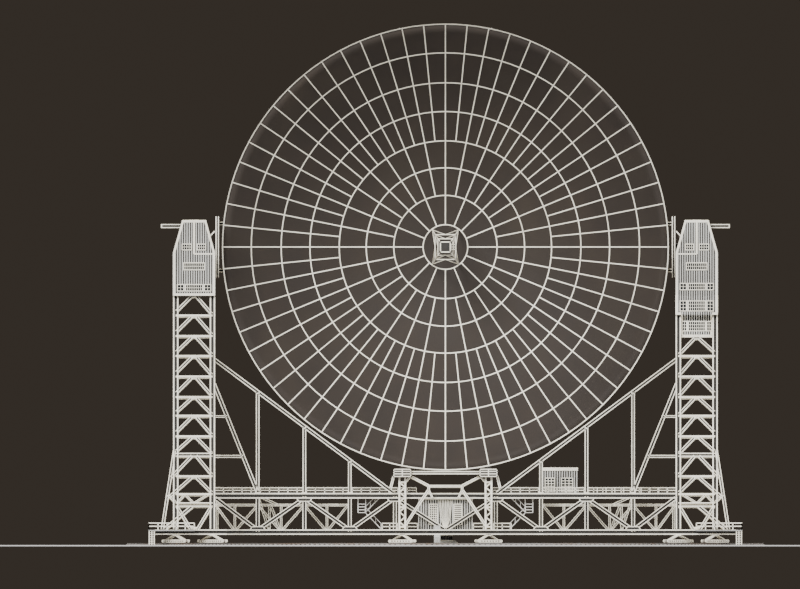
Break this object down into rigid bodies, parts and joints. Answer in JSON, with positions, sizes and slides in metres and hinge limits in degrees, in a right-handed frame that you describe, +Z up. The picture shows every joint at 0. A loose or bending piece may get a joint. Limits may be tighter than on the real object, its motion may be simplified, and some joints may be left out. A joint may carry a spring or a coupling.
{
  "type": "1:10 scale model of a steerable radio telescope dish",
  "caption": "Scale model of a fully steerable radio telescope: a parabolic dish that tips between lattice towers, on a girder that turns on circular rails.",
  "frame": {"origin": "centre of the turning circle, on the ground", "axes": "+Z up; the dish looks along -Y at rest; +X to the viewer's right"},
  "size_m": [10.88, 10.88, 8.89],
  "materials": {
    "tower_paint": "weathered white paint on structural steel",
    "dish_skin": "dark weathered paint on welded steel sheets",
    "cladding": "painted corrugated sheet",
    "machine_paint": "grey machinery paint",
    "rail_steel": "worn rail steel",
    "deck_plate": "painted grating",
    "cast_concrete": null
  },
  "bodies": {
    "ground": {"outer_track": "rail_steel", "second_track": "rail_steel", "inner_track": "rail_steel", "pivot_base": "cast_concrete"},
    "turntable": {"centre_cabin": "cladding", "centre_floor": "tower_paint", "centre_foot_front": "machine_paint", "centre_foot_rear": "machine_paint", "centre_frame_front": "tower_paint", "centre_frame_rear": "tower_paint", "girder_hut": "cladding", "head_beam_front": "tower_paint", "head_beam_rear": "tower_paint", "left_floor_frame": "tower_paint", "left_front_platform": "deck_plate", "left_front_raking_frame": "tower_paint", "left_jib": "tower_paint", "left_rear_platform": "deck_plate", "left_rear_raking_frame": "tower_paint", "left_roller_box": "machine_paint", "left_tower_front_face": "tower_paint", "left_tower_front_foot": "machine_paint", "left_tower_housing": "cladding", "left_tower_inner_side": "tower_paint", "left_tower_outer_side": "tower_paint", "left_tower_rear_face": "tower_paint", "left_tower_rear_foot": "machine_paint", "left_walkway": "deck_plate", "main_truss_front": "tower_paint", "main_truss_rear": "tower_paint", "right_floor_frame": "tower_paint", "right_front_platform": "deck_plate", "right_front_raking_frame": "tower_paint", "right_jib": "tower_paint", "right_rear_platform": "deck_plate", "right_rear_raking_frame": "tower_paint", "right_roller_box": "machine_paint", "right_tower_front_face": "tower_paint", "right_tower_front_foot": "machine_paint", "right_tower_housing": "cladding", "right_tower_inner_side": "tower_paint", "right_tower_outer_side": "tower_paint", "right_tower_rear_face": "tower_paint", "right_tower_rear_foot": "machine_paint", "right_walkway": "deck_plate"},
    "dish": {"reflector": "dish_skin", "rim_girder": "tower_paint", "hub_drum": "tower_paint", "back_frame": "tower_paint", "left_wheel_girder": "tower_paint", "right_wheel_girder": "tower_paint", "wheel_bracing": "tower_paint", "feed_tower": "tower_paint", "focus_box": "machine_paint", "left_rack_wheel": "machine_paint", "right_rack_wheel": "machine_paint"}
  },
  "joints": [
    {"name": "azimuth_turn", "type": "hinge", "parent": "ground", "child": "turntable", "pos_m": [0, 0, 0.03], "axis": [0, 0, 1], "range_deg": [-180, 180]},
    {"name": "elevation_tip", "type": "hinge", "parent": "turntable", "child": "dish", "pos_m": [0, 0, 5.08], "axis": [-1, 0, 0], "range_deg": [0, 90]}
  ]
}
